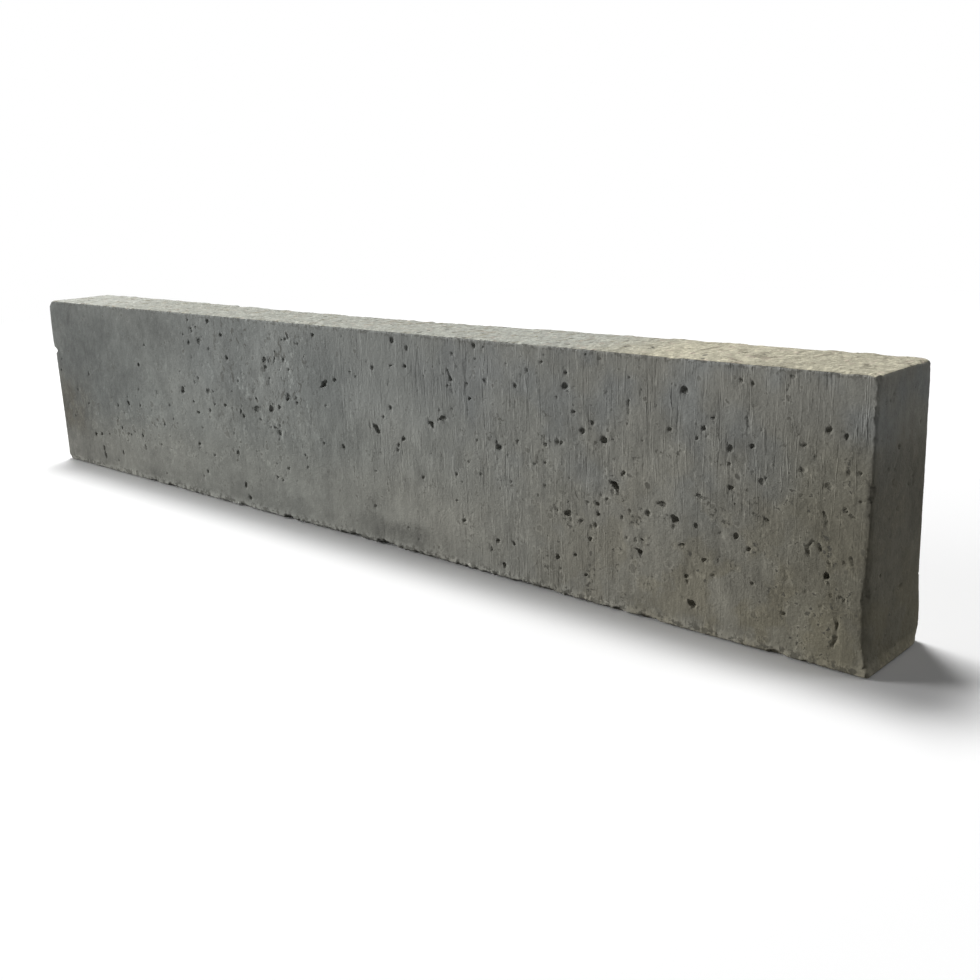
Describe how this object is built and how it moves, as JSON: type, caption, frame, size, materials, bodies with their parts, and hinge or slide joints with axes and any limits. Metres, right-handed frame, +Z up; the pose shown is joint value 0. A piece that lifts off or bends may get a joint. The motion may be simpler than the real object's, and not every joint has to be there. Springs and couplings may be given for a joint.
{
  "type": "concrete kerb stone",
  "caption": "Straight precast concrete edging kerb: a plain rectangular block with softened arrises, slight mould draft, a slumped foot, blowholes and worn edges.",
  "frame": {"origin": "middle of the base, on the ground the kerb stands on", "axes": "+X along the kerb to its worn right end, +Y across the thickness to the back face, +Z up"},
  "size_m": [1, 0.08, 0.186],
  "materials": {
    "concrete": "matt cast concrete, drag-marked sides, open float-finished top"
  },
  "bodies": {
    "root": {"kerb_stone": "concrete"}
  },
  "joints": []
}
